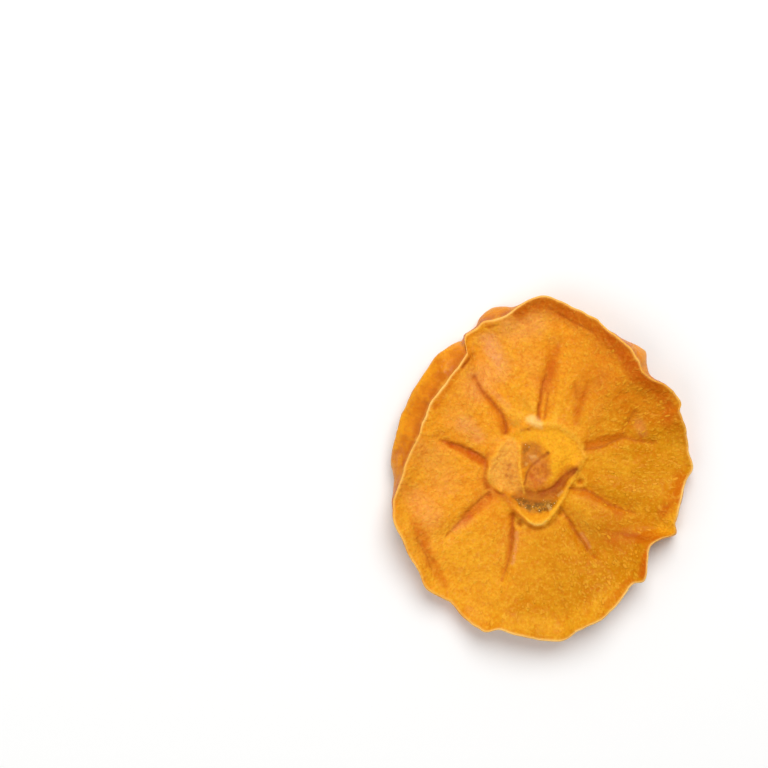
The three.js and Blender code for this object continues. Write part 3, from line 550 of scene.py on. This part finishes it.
def buildSlice():
    columns = shape["columns"]
    angles = np.arange(columns) / columns * fullTurn
    section = rimAt(angles)
    cosines, sines = np.cos(angles), np.sin(angles)
    coreX, coreY = shape["corePlace"]
    half = shape["webThickness"] / 2
    foot = np.maximum(0, section["foot"])
    names = [*markNames, "lip", "peelShare", "open", "grainShare", "crystalShare"]
    sheets = []  # radius, height and marks, one row of points to a ring
    folded, lipHighlight, creamHighlight = edgeTones(angles)

    def addSheet(radius, height, **given):
        blank = np.zeros(np.shape(radius))
        sheets.append((radius, height, {name: blank + given.get(name, 0) for name in names}))

    def addFace(face):
        shares = np.concatenate([np.linspace(*row) for row in shape[face + "Rings"]])[:, None]
        spread = section["flare"] if face == "under" else 0
        edge = section["radius"] + spread - shape["lipWidth"]
        radius = shares * edge
        inside = edge - radius
        x, y, angle = radius * cosines, radius * sines, angles + radius * 0
        follow = np.minimum(1, radius / section["radius"]) ** shape["dishPower"]
        web = shape["coreHeight"] + (section["middle"] - shape["coreHeight"]) * follow
        curl = np.maximum(0, 1 - inside / shape["curlWidth"]) ** shape["curlPower"]
        marks = strokesAt(x, y)
        fine = fineReliefAt(x, y, angle, radius, marks) * easeBetween(0, shape["fineFade"], inside)
        relief = reliefAt(x, y) * easeBetween(0, shape["reliefFade"], inside)
        if face == "upper":
            height = web + half + (section["lip"] - section["middle"] - half) * curl + relief + fine
            ripe = easeBetween(*shape["ripeFades"], x - shape["slant"] * y)
            covered = sum(marks[name] for name in ("cut", "red", "vein", "deepAndShade", "clear"))
            bare = 1 - np.clip(covered + marks["yellow"] * 0.6, 0, 1)
            grainShare = ripe * bare * easeBetween(*shape["grainsFade"], radius)
            marks["grainShare"] = grainShare * easeBetween(*shape["grainsInside"], inside)
            marks["crystalShare"] = marks["dark"]
        else:
            fall = section["middle"] - half - section["foot"]
            height = web - half - fall * curl - shape["undersideRelief"] * relief
            height = np.maximum(0, height - shape["undersideFine"] * fine)
            marks = {name: mark * shape["undersideMarks"] for name, mark in marks.items()}
        # Painted highlight where the face meets the lip
        marks["lip"] = 0.5 * lipHighlight * (1 - easeBetween(0.0, 0.3, inside))
        addSheet(radius, height, **marks)

    def addLip(edge, base, turns, direction):
        turn = np.radians(turns)[:, None]
        # Painted highlight on the lip, brightest on the crest of its turn
        pale = 0.75 + 0.25 * np.sin(2 * turn)
        radius = edge - shape["lipWidth"] * (1 - np.sin(turn))
        height = base - direction * shape["lipDrop"] * (1 - np.cos(turn))
        peelShare = 0 if direction > 0 else 1
        addSheet(radius, height, lip=pale * lipHighlight, cream=pale * creamHighlight, peelShare=peelShare, open=folded)

    addFace("upper")
    addLip(section["radius"], section["lip"], shape["lipTurns"], 1)
    share = np.linspace(0, 1, shape["peelRings"])[:, None]
    wrinkle = layered("wrinkles", roundNoise, angles + share * 0, share * 4)
    bulge = (shape["peelBulge"] + wrinkle) * np.sin(math.pi * share)
    top, bottom = section["lip"] - shape["lipDrop"], foot + shape["lipDrop"]
    # Painted highlight on the peel, next to the two lips
    pale = np.maximum(0.35 - share * 5, share * 12 - 11.2)  # only next to the two lips
    addSheet(section["radius"] + section["flare"] * share + bulge, top + (bottom - top) * share,
             lip=np.maximum(0, pale) * lipHighlight, peelShare=share, open=folded)
    addLip(section["radius"] + section["flare"], foot, shape["lipTurns"][::-1], -1)
    addFace("under")

    counts = [len(sheet[0]) for sheet in sheets]
    rings = sum(counts)
    radius, height = (np.vstack([sheet[part] for sheet in sheets]) for part in (0, 1))
    grid = np.stack([coreX + radius * cosines, coreY + radius * sines, height], axis=-1) * mm
    vertices = np.vstack([grid[0].mean(axis=0), grid.reshape(-1, 3), grid[-1].mean(axis=0)])
    here = 1 + np.arange(rings)[:, None] * columns + np.arange(columns)[None, :]
    beside = np.roll(here, -1, axis=1)
    quads = np.stack([here[:-1], here[1:], beside[1:], beside[:-1]], axis=-1).reshape(-1, 4)
    faces = quads.tolist()
    faces += [[0, int(a), int(b)] for a, b in zip(here[0], beside[0])]
    faces += [[len(vertices) - 1, int(b), int(a)] for a, b in zip(here[-1], beside[-1])]

    mesh = bpy.data.meshes.new("driedPersimmonSlice")
    mesh.from_pydata(vertices.tolist(), [], faces)
    mesh.polygons.foreach_set("use_smooth", np.ones(len(faces), dtype=bool))
    for name in names:
        mark = np.vstack([sheet[2][name] for sheet in sheets])
        values = np.concatenate([[mark[0].mean()], mark.ravel(), [mark[-1].mean()]])
        mesh.attributes.new(name, "FLOAT", "POINT").data.foreach_set("value", values.astype(np.float32))
    quadRing = np.repeat(np.arange(rings - 1), columns)
    firstPeel = counts[0] + counts[1]
    onPeel = (quadRing >= firstPeel) & (quadRing < firstPeel + counts[2] - 1)
    slots = np.concatenate([onPeel.astype(np.int32), np.zeros(2 * columns, dtype=np.int32)])
    mesh.polygons.foreach_set("material_index", slots)
    mesh.update()
    return addObject("driedPersimmonSlice", mesh)


# Small helpers for node trees: a socket is linked, a plain value is set
def feed(tree, source, socket):
    if isinstance(source, bpy.types.NodeSocket):
        tree.links.new(source, socket)
    else:
        socket.default_value = source


# Adds a node with its settings, and feeds its inputs by name or number
def addNode(tree, kind, inputs, **settings):
    node = tree.nodes.new(kind)
    for name, value in settings.items():
        setattr(node, name, value)
    for socket, source in inputs.items():
        feed(tree, source, node.inputs[socket])
    return node


def mixColour(tree, factor, first, second):
    return addNode(tree, "ShaderNodeMix", {0: factor, 6: first, 7: second}, data_type="RGBA").outputs[2]


def spanOf(tree, value, low, high, toLow=0.0, toHigh=1.0):
    inputs = dict(enumerate((value, low, high, toLow, toHigh)))
    return addNode(tree, "ShaderNodeMapRange", inputs, interpolation_type="SMOOTHSTEP").outputs[0]


def sums(tree, operation, first, second):
    return addNode(tree, "ShaderNodeMath", {0: first, 1: second}, operation=operation).outputs[0]


def vectorSums(tree, operation, first, second=None, scale=None):
    inputs = {0: first, 1: second, "Scale": scale}
    inputs = {name: value for name, value in inputs.items() if value is not None}
    node = addNode(tree, "ShaderNodeVectorMath", inputs, operation=operation)
    return node.outputs["Value" if operation == "LENGTH" else "Vector"]


def noiseOf(tree, vector, scale, detail):
    inputs = {"Vector": vector, "Scale": scale, "Detail": detail}
    return addNode(tree, "ShaderNodeTexNoise", inputs).outputs[0]


def markOf(tree, name, strength=1.0):
    mark = addNode(tree, "ShaderNodeAttribute", {}, attribute_name=name).outputs["Fac"]
    return sums(tree, "MULTIPLY", mark, strength)


def newMaterial(name, finish):
    material = bpy.data.materials.new(name)
    material.use_nodes = True
    tree = material.node_tree
    tree.nodes.clear()
    shader = addNode(tree, "ShaderNodeBsdfPrincipled", finish)
    addNode(tree, "ShaderNodeOutputMaterial", {0: shader.outputs[0]})
    return material, tree, shader


patternSizes = {  # in millimetres, apart from flecksRound
    "patchSize": 8.0, "blotchSize": 2.2, "grainSize": 0.8, "cellSize": 0.95, "flecksRound": 30.0,
    "fleckLength": 1.4,
}


# Dried fruit's own pattern, shared by flesh, peel and grains: patches, blotches, grain and cells of pulp,
# and flecks that run out from the axis and get wider on the way
def makeFruitPattern():
    group = bpy.data.node_groups.new("fruitPattern", "ShaderNodeTree")
    for name, value in patternSizes.items():
        group.interface.new_socket(name, in_out="INPUT", socket_type="NodeSocketFloat").default_value = value
    for name in ("patches", "blotches", "grain", "cells", "flecks", "direction"):
        group.interface.new_socket(name, in_out="OUTPUT", socket_type="NodeSocketFloat")
    given = group.nodes.new("NodeGroupInput").outputs
    made = group.nodes.new("NodeGroupOutput").inputs
    coreX, coreY = shape["corePlace"]
    place = addNode(group, "ShaderNodeMapping", {
        "Vector": addNode(group, "ShaderNodeTexCoord", {}).outputs["Object"],
        "Location": (-coreX, -coreY, 0),
        "Scale": (1 / mm, 1 / mm, 1 / mm),
    }).outputs[0]
    for size, output in (("patchSize", "patches"), ("blotchSize", "blotches"), ("grainSize", "grain")):
        feed(group, noiseOf(group, place, sums(group, "DIVIDE", 1.0, given[size]), 1.5), made[output])
    cells = addNode(group, "ShaderNodeTexVoronoi", {
        "Vector": place,
        "Scale": sums(group, "DIVIDE", 1.0, given["cellSize"]),
        "Smoothness": 0.5,
    }, feature="SMOOTH_F1")
    feed(group, cells.outputs["Distance"], made["cells"])

    apart = addNode(group, "ShaderNodeSeparateXYZ", {0: place}).outputs
    flat = addNode(group, "ShaderNodeCombineXYZ", {0: apart[0], 1: apart[1]}).outputs[0]
    distance = vectorSums(group, "LENGTH", flat)
    heading = vectorSums(group, "NORMALIZE", flat)
    outwards = sums(group, "DIVIDE", distance, given["fleckLength"])
    lengthwise = addNode(group, "ShaderNodeCombineXYZ", {2: outwards}).outputs[0]
    around = vectorSums(group, "SCALE", heading, scale=given["flecksRound"])
    flecks = noiseOf(group, vectorSums(group, "ADD", around, lengthwise), 1.0, 1.0)
    sparse = spanOf(group, distance, 9.0, 14.0, 0.8, 1.0)  # fewer flecks in the core
    feed(group, sums(group, "MULTIPLY", flecks, sparse), made["flecks"])
    slant = sums(group, "SUBTRACT", sums(group, "MULTIPLY", apart[1], shape["slant"]), apart[0])
    feed(group, spanOf(group, slant, -26.0, 12.0), made["direction"])
    return group


def patternIn(tree, **sizes):
    node = addNode(tree, "ShaderNodeGroup", sizes, node_tree=fruitPattern)
    return {socket.name: socket for socket in node.outputs}


# Lays a look's colours over one another. A layer is a colour and the factors of its share: a texture
# with the span that it is mapped by, or a mark with its strength.
def layColours(tree, textures, look, colour):
    for name, *factors in look["layers"]:
        share = 1.0
        for source, *numbers in factors:
            if source in textures:
                factor = spanOf(tree, textures[source], *numbers)
            else:
                factor = markOf(tree, source, *numbers)
            share = sums(tree, "MULTIPLY", share, factor)
        colour = mixColour(tree, share, colour, look[name])
    return colour


# Ends a material: colour, roughness that follows a texture, and bumps from the textures' heights
def finishSurface(tree, shader, look, colour, texture, heights):
    feed(tree, colour, shader.inputs["Base Color"])
    feed(tree, spanOf(tree, texture, 0.35, 0.65, *look["roughness"]), shader.inputs["Roughness"])
    height = 0.0
    for source, share in heights:
        height = sums(tree, "ADD", height, sums(tree, "MULTIPLY", source, share))
    if heights:
        bump = addNode(tree, "ShaderNodeBump", {**look["bump"], "Height": height})
        feed(tree, bump.outputs[0], shader.inputs["Normal"])


# Light goes a little way into the flesh and the peel
underSkin = {"Subsurface Weight": 0.15, "Subsurface Radius": (1.0, 0.38, 0.1), "Subsurface Scale": 0.001}
pink = ("direction", 0.3, 0.9, 0.1, 1)  # only the upper left is rosy
worn = ("fine", 0.36, 0.56, 0.6, 1)  # breaks up patches and strokes
fleshLook = {
    "peach": (0.88, 0.33, 0.014, 1),
    "amber": (0.61, 0.228, 0.0005, 1),
    "yellow": (0.87, 0.41, 0.016, 1),
    "rosy": (0.87, 0.375, 0.12, 1),
    # Deeper orange, also the colour of painted shade
    "deepAndShade": (0.6, 0.11, 0.0005, 1),
    "red": (0.56, 0.085, 0.003, 1),
    "cut": (0.36, 0.055, 0.003, 1),
    "clear": (0.95, 0.44, 0.015, 1),
    "flap": (0.9, 0.44, 0.065, 1),
    "brown": (0.47, 0.13, 0.02, 1),
    "rose": (0.6, 0.165, 0.026, 1),
    "rust": (0.37, 0.075, 0.01, 1),
    "olive": (0.47, 0.23, 0.02, 1),
    "dark": (0.14, 0.065, 0.01, 1),
    "vein": (0.95, 0.5, 0.04, 1),
    "cream": (0.95, 0.6, 0.19, 1),
    # Pale colour of the painted highlight along the lips
    "lip": (0.97, 0.55, 0.12, 1),
    "roughness": (0.36, 0.54),
    "bump": {"Strength": 0.7, "Distance": 0.0003},
    "finish": {"Specular IOR Level": 0.07, **underSkin},
    "layers": [
        ("yellow", ("patches", 0.5, 0.68, 0, 0.2)),
        ("rosy", ("patches", 0.5, 0.32, 0, 0.12), pink),
        ("yellow", ("yellow", 0.85)),
        ("rosy", ("rosy", 0.92)),
        # Painted shade and deeper orange from the strokes
        ("deepAndShade", ("deepAndShade", 0.85)),
        ("deepAndShade", ("blotches", 0.5, 0.32, 0, 0.18)),
        ("yellow", ("blotches", 0.53, 0.7, 0, 0.24)),
        ("deepAndShade", ("cells", 0.3, 0.7, 0, 0.18)),
        # painted highlights: light spots on the pulp cells, clearest at the lower right
        ("vein", ("cells", 0.32, 0.12), ("grain", 0.4, 0.6, 0.2, 1), ("direction", 0.6, 0.1, 0.12, 0.28)),
        ("rosy", ("grain", 0.56, 0.7, 0, 0.14), pink),
        ("vein", ("flecks", 0.6, 0.7, 0, 0.3)),
        ("deepAndShade", ("fine", 0.45, 0.32, 0, 0.25)),
        ("vein", ("fine", 0.54, 0.7, 0, 0.28)),
        # Painted shade and deeper orange from the strokes
        ("deepAndShade", ("deepAndShade", 0.7)),
        ("olive", ("olive", 0.7), worn),
        ("clear", ("clear", 0.85), worn),
        ("flap", ("flap", 0.85), worn),
        ("brown", ("brown", 0.85), worn),
        ("rose", ("rose", 0.95), worn),
        ("rust", ("rust", 0.97)),
        ("vein", ("vein", 0.75), worn),
        # mottled flap, streaked reddish patch, speckled bottom of the core
        ("rose", ("flap",), ("grain", 0.55, 0.36, 0, 0.4)),
        ("rust", ("rose",), ("grain", 0.56, 0.4, 0, 0.45)),
        ("dark", ("dark",), ("grain", 0.62, 0.42, 0.45, 1)),
        ("red", ("red", 0.85), worn),
        ("cut", ("cut", 0.8)),
        # Painted highlight along the lips; the cream mark is the core's cream node, with painted highlights
        # on the lips and on small spots in the core
        ("lip", ("lip", 0.85)),
        ("cream", ("cream", 0.9)),
    ],
}


def makeFleshMaterial():
    look = fleshLook
    material, tree, shader = newMaterial("driedFlesh", look["finish"])
    textures = patternIn(tree)
    textures["fine"] = patternIn(tree, grainSize=0.5)["grain"]
    # Amber at the lower right, darker than the peach at the upper left: partly the flesh's own tone, partly
    # painted shade on that side
    colour = mixColour(tree, textures["direction"], look["amber"], look["peach"])
    colour = layColours(tree, textures, look, colour)
    flecks = spanOf(tree, textures["flecks"], 0.6, 0.7)
    heights = [(textures["cells"], -0.6), (textures["blotches"], 0.5), (flecks, 0.3),
               (textures["grain"], 0.5), (textures["fine"], 0.5)]
    finishSurface(tree, shader, look, colour, textures["blotches"], heights)
    return material


peelLook = {
    "nearLip": (0.54, 0.12, 0.001, 1),
    "skin": (0.74, 0.225, 0.002, 1),
    "outer": (0.86, 0.33, 0.005, 1),
    "openSkin": (0.93, 0.38, 0.02, 1),
    # Pale colour of the painted highlight along the lips
    "lip": (0.95, 0.5, 0.09, 1),
    "roughness": (0.34, 0.46),
    "bump": {"Strength": 0.7, "Distance": 0.0005},
    "finish": {"Specular IOR Level": 0.2, **underSkin},
    "pattern": {"patchSize": 5.0, "blotchSize": 2.2, "flecksRound": 24.0, "fleckLength": 3.0},
    "layers": [
        ("skin", ("depth", 0.0, 0.4)),
        ("outer", ("depth", 0.4, 1.0)),
        ("nearLip", ("patches", 0.5, 0.35, 0, 0.45)),
        ("outer", ("blotches", 0.5, 0.7, 0, 0.45)),
        ("nearLip", ("blotches", 0.5, 0.3, 0, 0.35)),
        ("openSkin", ("flecks", 0.55, 0.75, 0, 0.12)),
        ("nearLip", ("grain", 0.48, 0.3, 0, 0.3)),
        ("openSkin", ("open", 0.85)),
        # Painted highlight along the lips
        ("lip", ("lip", 0.85)),
    ],
}


def makePeelMaterial():
    look = peelLook
    material, tree, shader = newMaterial("driedPeel", look["finish"])
    textures = patternIn(tree, **look["pattern"])
    textures["depth"] = markOf(tree, "peelShare")  # from the upper lip to the lower one
    colour = layColours(tree, textures, look, look["nearLip"])
    heights = [(textures["blotches"], 1.0), (textures["flecks"], 0.8), (textures["grain"], 0.5)]
    finishSurface(tree, shader, look, colour, textures["patches"], heights)
    return material


fruitPattern = makeFruitPattern()
sliceObject = buildSlice()
for material in (makeFleshMaterial(), makePeelMaterial()):
    sliceObject.data.materials.append(material)
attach(sliceObject, "root")
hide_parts("persimmon_slice")
print("slice built,", len(sliceObject.data.polygons), "faces")

# Pulp grains lie mostly at the lower right, crystals of dried juice only at the bottom of the core.
# Sizes and the least distance apart are in millimetres, density is in grains to a square millimetre.
grains = {
    "pulpGrains": {
        "mask": "grainShare", "density": 0.25, "apart": 0.8,
        "smallest": (0.25, 0.16, 0.02), "largest": (0.75, 0.34, 0.045), "seed": 3,
    },
    "juiceCrystals": {
        "mask": "crystalShare", "density": 2.2, "apart": 0.3,
        "smallest": (0.05, 0.05, 0.04), "largest": (0.13, 0.1, 0.08), "seed": 5,
    },
}
grainLook = {
    "dull": (0.7, 0.27, 0.004, 1),
    "layers": [("bright", ("grainTone",)), ("dull", ("blotches", 0.55, 0.35, 0, 0.4))],
    "pulpGrain": {"bright": (0.8, 0.33, 0.012, 1), "roughness": (0.35, 0.5)},
    "juiceCrystal": {"bright": (1.0, 0.86, 0.5, 1), "roughness": (0.25, 0.4)},
}


def makeGrainMaterial(name):
    look = {**grainLook, **grainLook[name]}
    material, tree, shader = newMaterial(name, {"Specular IOR Level": 0.15})
    textures = patternIn(tree, blotchSize=0.5)
    colour = layColours(tree, textures, look, look["dull"])
    finishSurface(tree, shader, look, colour, textures["blotches"], [])
    return material


# A node tree that strews small flat grains over a mesh, long side outwards from the axis
def makeScatterTree():
    tree = bpy.data.node_groups.new("strewGrains", "GeometryNodeTree")
    kinds = {"geometry": "Geometry", "mask": "String", "density": "Float", "apart": "Float",
             "smallest": "Vector", "largest": "Vector", "seed": "Int", "material": "Material"}
    for name, kind in kinds.items():
        tree.interface.new_socket(name, in_out="INPUT", socket_type="NodeSocket" + kind)
    tree.interface.new_socket("geometry", in_out="OUTPUT", socket_type="NodeSocketGeometry")
    given = tree.nodes.new("NodeGroupInput").outputs
    made = tree.nodes.new("NodeGroupOutput").inputs

    def randomOf(kind, seed, low, high):
        first, output = (0, 0) if kind == "FLOAT_VECTOR" else (2, 1)
        inputs = {first: low, first + 1: high, "Seed": seed}
        return addNode(tree, "FunctionNodeRandomValue", inputs, data_type=kind).outputs[output]

    mask = addNode(tree, "GeometryNodeInputNamedAttribute", {"Name": given["mask"]}, data_type="FLOAT")
    spread = addNode(tree, "GeometryNodeDistributePointsOnFaces", {
        "Mesh": given["geometry"],
        "Distance Min": sums(tree, "MULTIPLY", given["apart"], mm),
        "Density Max": sums(tree, "DIVIDE", given["density"], mm * mm),
        "Density Factor": mask.outputs["Attribute"],
        "Seed": given["seed"],
    }, distribute_method="POISSON")
    axis = (shape["corePlace"][0] * mm, shape["corePlace"][1] * mm, 0)
    place = tree.nodes.new("GeometryNodeInputPosition").outputs[0]
    outward = vectorSums(tree, "NORMALIZE", vectorSums(tree, "SUBTRACT", place, axis))
    astray = randomOf("FLOAT_VECTOR", given["seed"], (-0.5, -0.5, 0), (0.5, 0.5, 0))
    turned = addNode(tree, "FunctionNodeAlignRotationToVector", {
        "Rotation": spread.outputs["Rotation"],
        "Vector": vectorSums(tree, "ADD", outward, astray),
    }, axis="X", pivot_axis="Z")
    sizeSeed, toneSeed = (sums(tree, "ADD", given["seed"], shift) for shift in (1.0, 2.0))
    size = randomOf("FLOAT_VECTOR", sizeSeed, given["smallest"], given["largest"])
    ball = addNode(tree, "GeometryNodeMeshUVSphere", {"Segments": 8, "Rings": 4, "Radius": 1.0})
    placed = addNode(tree, "GeometryNodeInstanceOnPoints", {
        "Points": spread.outputs["Points"],
        "Instance": ball.outputs["Mesh"],
        "Rotation": turned.outputs["Rotation"],
        "Scale": vectorSums(tree, "SCALE", size, scale=mm),
    })
    toned = addNode(tree, "GeometryNodeStoreNamedAttribute", {
        "Geometry": placed.outputs["Instances"],
        "Name": "grainTone",
        "Value": randomOf("FLOAT", toneSeed, 0.0, 1.0),
    }, data_type="FLOAT", domain="INSTANCE")
    geometry = toned.outputs["Geometry"]
    for kind in ("GeometryNodeRealizeInstances", "GeometryNodeSetShadeSmooth"):
        geometry = addNode(tree, kind, {"Geometry": geometry}).outputs["Geometry"]
    dressed = addNode(tree, "GeometryNodeSetMaterial", {"Geometry": geometry, "Material": given["material"]})
    feed(tree, dressed.outputs["Geometry"], made["geometry"])
    return tree


def addGrains(name, tree, material):
    piece = addObject(name, sliceObject.data.copy())
    strewn = piece.modifiers.new("strewn", "NODES")
    strewn.node_group = tree
    identifiers = {item.name: item.identifier for item in tree.interface.items_tree if item.in_out == "INPUT"}
    for socket, value in {**grains[name], "material": material}.items():
        strewn[identifiers[socket]] = value
    evaluated = piece.evaluated_get(bpy.context.evaluated_depsgraph_get())
    mesh = bpy.data.meshes.new_from_object(evaluated)
    piece.modifiers.clear()
    piece.data = mesh
    mesh.name = name
    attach(piece, "root")
    print(name, "strewn,", len(mesh.polygons), "faces")


strewGrains = makeScatterTree()
addGrains("pulpGrains", strewGrains, makeGrainMaterial("pulpGrain"))
addGrains("juiceCrystals", strewGrains, makeGrainMaterial("juiceCrystal"))

stageLook = {
    "floorSize": 16.0,
    "floorFinish": {"Base Color": (0.94, 0.94, 0.935, 1), "Roughness": 0.8, "Specular IOR Level": 0.1},
    "skyColour": (1.0, 1.0, 0.99, 1),
    "skyStrength": 0.34,
    "lights": {
        "keyLight": {"place": (0.12, 0.5, 0.75), "size": 0.7, "power": 6.8},
        "fillLight": {"place": (-0.6, -0.35, 0.7), "size": 0.9, "power": 2.7},
    },
}

floorSide = stageLook["floorSize"] / 2
floorMesh = bpy.data.meshes.new("floor")
floorCorners = [(x * floorSide, y * floorSide, 0) for x, y in ((-1, -1), (1, -1), (1, 1), (-1, 1))]
floorMesh.from_pydata(floorCorners, [], [(0, 1, 2, 3)])
floorMesh.materials.append(newMaterial("paleFloor", stageLook["floorFinish"])[0])
floor = addObject("floor", floorMesh)

world = bpy.data.worlds.new("studio")
world.use_nodes = True
sky = world.node_tree.nodes["Background"]
sky.inputs["Color"].default_value = stageLook["skyColour"]
sky.inputs["Strength"].default_value = stageLook["skyStrength"]
bpy.context.scene.world = world


def addLight(name, place, size, power):
    data = bpy.data.lights.new(name, "AREA")
    data.shape, data.size, data.energy = "DISK", size, power
    light = addObject(name, data)
    light.location = place
    light.rotation_euler = (-Vector(place)).to_track_quat("-Z", "Y").to_euler()


for lightName, light in stageLook["lights"].items():
    addLight(lightName, **light)

cameraSet = {
    "lens": 100.0,
    "sensor": 36.0,
    "clip": (0.01, 20),
    "frameWidth": 153.6,  # millimetres across the picture, at the lips' height
    "lipHeight": 6.0,
    "aimFromCore": (-30.4, 17.4),  # middle of the picture, from the fruit's axis
}
cameraData = bpy.data.cameras.new("camera")
cameraData.lens, cameraData.sensor_width = cameraSet["lens"], cameraSet["sensor"]
cameraData.clip_start, cameraData.clip_end = cameraSet["clip"]
camera = addObject("camera", cameraData)
cameraHeight = cameraSet["frameWidth"] * cameraSet["lens"] / cameraSet["sensor"] + cameraSet["lipHeight"]
aimX, aimY = (core + away for core, away in zip(shape["corePlace"], cameraSet["aimFromCore"]))
camera.location = Vector((aimX, aimY, cameraHeight)) * mm
bpy.context.scene.camera = camera
bpy.context.scene.view_settings.view_transform = "Standard"
print("stage, lights and camera set")
